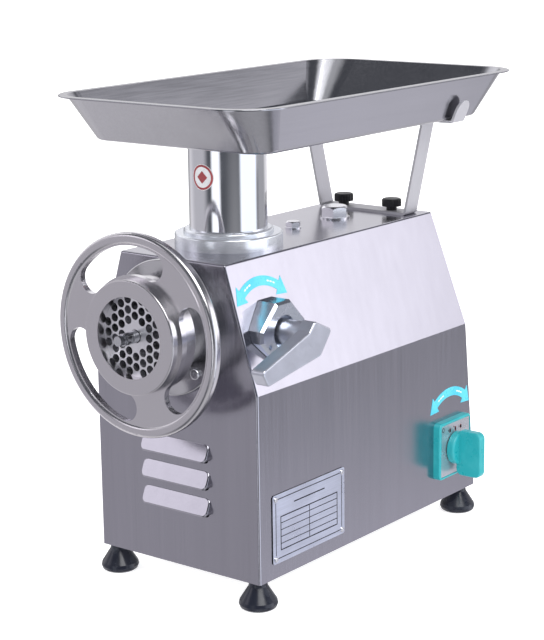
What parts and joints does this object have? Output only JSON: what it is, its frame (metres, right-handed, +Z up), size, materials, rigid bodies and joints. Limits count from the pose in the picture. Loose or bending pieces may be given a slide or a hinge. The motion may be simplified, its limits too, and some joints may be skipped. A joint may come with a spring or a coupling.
{
  "type": "electric meat grinder",
  "caption": "Table-top electric meat grinder: folded steel housing, spoked ring nut with perforated plate, side lock lever, rotary switch, tall throat and lift-off tray.",
  "frame": {"origin": "middle of the bounding box, on the table; the machine's own centre plane lies 5.35 mm to the -X side of it, because the switch knob reaches further than the tray", "axes": "+Z up, -Y to the front where the meat comes out, +X to the side with the lock lever and the switch"},
  "size_m": [0.2552, 0.4678, 0.447],
  "materials": {
    "brushed_sheet": "upright brushed grain, satin",
    "inner_sheet": "plain cold-rolled sheet",
    "tray_sheet": "satin, softly drawn",
    "bracket_strip": "satin strip",
    "polished_tube": "mirror polished",
    "head_casting": "machined and polished",
    "lock_casting": "polished casting",
    "lever_casting": "satin casting",
    "wheel_casting": "turned satin face, polished rim",
    "plate_steel": "ground tool steel",
    "knife_steel": "ground tool steel",
    "screw_casting": "tinned casting",
    "stud_steel": "bright steel",
    "bright_screws": "bright plated",
    "foot_rubber": "glossy moulded rubber",
    "seal_rubber": "matt moulded rubber",
    "thumb_plastic": "moulded, knurled",
    "teal_plastic": "moulded, half gloss",
    "knob_plastic": "moulded, half gloss",
    "black_plastic": "moulded",
    "etched_plate": "satin with dark etched lines",
    "switch_plate": "satin with small dark marks",
    "blue_film": "printed film",
    "white_film": "printed film",
    "red_film": "printed film",
    "gear_steel": "machined, oiled",
    "cast_aluminium": "as cast",
    "motor_paint": "dark paint",
    "lamination": "laminated iron",
    "copper_wire": "varnished copper wire"
  },
  "bodies": {
    "housing": {"housing_shell": "brushed_sheet", "rear_panel": "brushed_sheet", "base_plate": "inner_sheet", "motor_cradle": "inner_sheet", "capacitor_clip": "inner_sheet", "tray_bracket": "bracket_strip", "throat_tube": "polished_tube", "throat_collar": "polished_tube", "barrel": "head_casting", "lock_boss": "lock_casting", "grinder_plate": "plate_steel", "flange_screws": "bright_screws", "rear_panel_screws": "bright_screws", "foot_screws": "bright_screws", "gearbox_screws": "bright_screws", "top_plug": "bright_screws", "top_bolt": "bright_screws", "rating_plate_rivets": "bright_screws", "feet": "foot_rubber", "oil_seal": "seal_rubber", "switch_bezel": "teal_plastic", "switch_body": "black_plastic", "cable_inlet_gland": "black_plastic", "terminal_block": "black_plastic", "capacitor": "black_plastic", "rating_plate": "etched_plate", "switch_face_plate": "switch_plate", "lock_arrow_label": "blue_film", "switch_arrow_label": "blue_film", "throat_label": "white_film", "throat_label_print": "red_film", "output_bearings": "gear_steel", "shaft_bearings": "gear_steel", "gearbox_case_front": "cast_aluminium", "gearbox_case_rear": "cast_aluminium", "motor_end_front": "cast_aluminium", "motor_end_rear": "cast_aluminium", "motor_shell": "motor_paint", "stator_core": "lamination", "stator_windings": "copper_wire"},
    "feed_screw": {"auger": "screw_casting", "auger_stud": "stud_steel", "cross_knife": "knife_steel", "output_shaft": "gear_steel", "output_gear": "gear_steel"},
    "countershaft": {"counter_shaft": "gear_steel", "counter_gear": "gear_steel", "counter_pinion": "gear_steel"},
    "motor_rotor": {"motor_shaft": "gear_steel", "motor_pinion": "gear_steel", "rotor_core": "lamination", "cooling_fan": "black_plastic"},
    "ring_nut": {"ring_nut_handwheel": "wheel_casting"},
    "tray": {"hopper_tray": "tray_sheet", "tray_spigot": "tray_sheet"},
    "lock_bolt": {"lock_bolt": "lever_casting"},
    "switch_knob": {"switch_knob": "knob_plastic", "switch_spindle": "gear_steel"},
    "thumb_screw_left": {"thumb_screw_left": "thumb_plastic"},
    "thumb_screw_right": {"thumb_screw_right": "thumb_plastic"}
  },
  "joints": [
    {"name": "feed_screw_spin", "type": "hinge", "parent": "housing", "child": "feed_screw", "pos_m": [-0.00535, -0.16185, 0.248], "axis": [0, 1, 0], "continuous": true},
    {"name": "countershaft_spin", "type": "hinge", "parent": "housing", "child": "countershaft", "pos_m": [-0.00535, -0.01185, 0.185], "axis": [0, 1, 0], "continuous": true},
    {"name": "motor_spin", "type": "hinge", "parent": "housing", "child": "motor_rotor", "pos_m": [-0.00535, 0.08815, 0.1255], "axis": [0, 1, 0], "continuous": true},
    {"name": "ring_nut_turn", "type": "hinge", "parent": "housing", "child": "ring_nut", "pos_m": [-0.00535, -0.20685, 0.248], "axis": [0, -1, 0], "range_deg": [0, 1080]},
    {"name": "tray_lift", "type": "slide", "parent": "housing", "child": "tray", "axis": [0, 0, 1], "range_m": [0, 0.1]},
    {"name": "lock_bolt_turn", "type": "hinge", "parent": "housing", "child": "lock_bolt", "pos_m": [0.07465, -0.11985, 0.2465], "axis": [1, 0, 0], "range_deg": [0, 720]},
    {"name": "switch_turn", "type": "hinge", "parent": "housing", "child": "switch_knob", "pos_m": [0.09965, 0.14365, 0.078], "axis": [1, 0, 0], "range_deg": [-60, 60]},
    {"name": "thumb_left_turn", "type": "hinge", "parent": "housing", "child": "thumb_screw_left", "pos_m": [-0.03435, 0.13665, 0.31], "axis": [0, 0, 1], "range_deg": [0, 720]},
    {"name": "thumb_right_turn", "type": "hinge", "parent": "housing", "child": "thumb_screw_right", "pos_m": [0.02365, 0.13665, 0.31], "axis": [0, 0, 1], "range_deg": [0, 720]}
  ],
  "couplings": [
    {"joint": "countershaft_spin", "follows": "feed_screw_spin", "ratio": -3},
    {"joint": "motor_spin", "follows": "feed_screw_spin", "ratio": 9}
  ]
}
